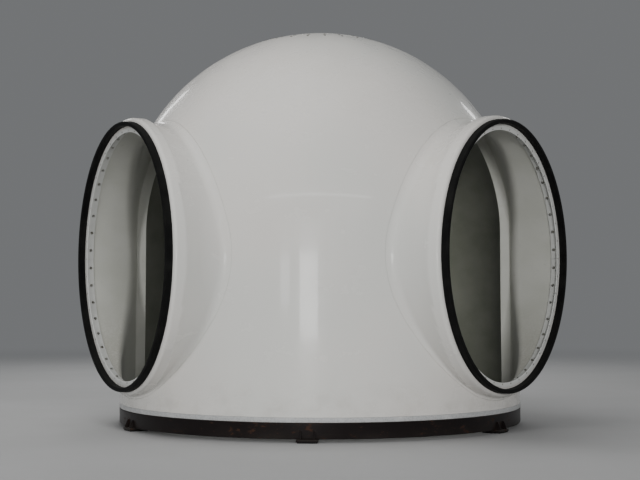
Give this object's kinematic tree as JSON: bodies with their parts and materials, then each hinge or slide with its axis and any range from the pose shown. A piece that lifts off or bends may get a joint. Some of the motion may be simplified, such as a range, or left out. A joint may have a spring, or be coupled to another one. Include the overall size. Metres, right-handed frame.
{
  "type": "wind turbine hub spinner shell",
  "caption": "Domed glass-fibre hub spinner with an upright skirt and three round blade openings on short collars with rubber seals, nose up on a low ring stand.",
  "frame": {"origin": "on the floor under the stand, on the axis of the shell", "axes": "+Z along the rotor axis, up towards the nose; -Y towards the middle of the panel between two blade openings; the third opening faces +Y"},
  "size_m": [5.6954, 4.9323, 4.475],
  "materials": {
    "gelcoat": "glossy white gelcoat, lightly dusty",
    "clamp_ring": "white paint, satin",
    "seal_rubber": "black rubber, matte",
    "base_steel": "dull galvanised steel",
    "stand_black": "black paint, worn"
  },
  "bodies": {
    "root": {"shell_panel_front": "gelcoat", "shell_panel_right": "gelcoat", "shell_panel_left": "gelcoat", "opening_collar_left": "gelcoat", "opening_collar_right": "gelcoat", "opening_collar_rear": "gelcoat", "nose_cap": "gelcoat", "nose_ring": "base_steel", "opening_ring_left": "clamp_ring", "opening_ring_right": "clamp_ring", "opening_ring_rear": "clamp_ring", "opening_seal_left": "seal_rubber", "opening_seal_right": "seal_rubber", "opening_seal_rear": "seal_rubber", "base_ring_front": "base_steel", "base_ring_right": "base_steel", "base_ring_left": "base_steel", "stand_ring_front": "stand_black", "stand_ring_right": "stand_black", "stand_ring_left": "stand_black", "stand_foot_1": "stand_black", "stand_foot_2": "stand_black", "stand_foot_3": "stand_black", "stand_foot_4": "stand_black", "stand_foot_5": "stand_black", "stand_foot_6": "stand_black"}
  },
  "joints": []
}
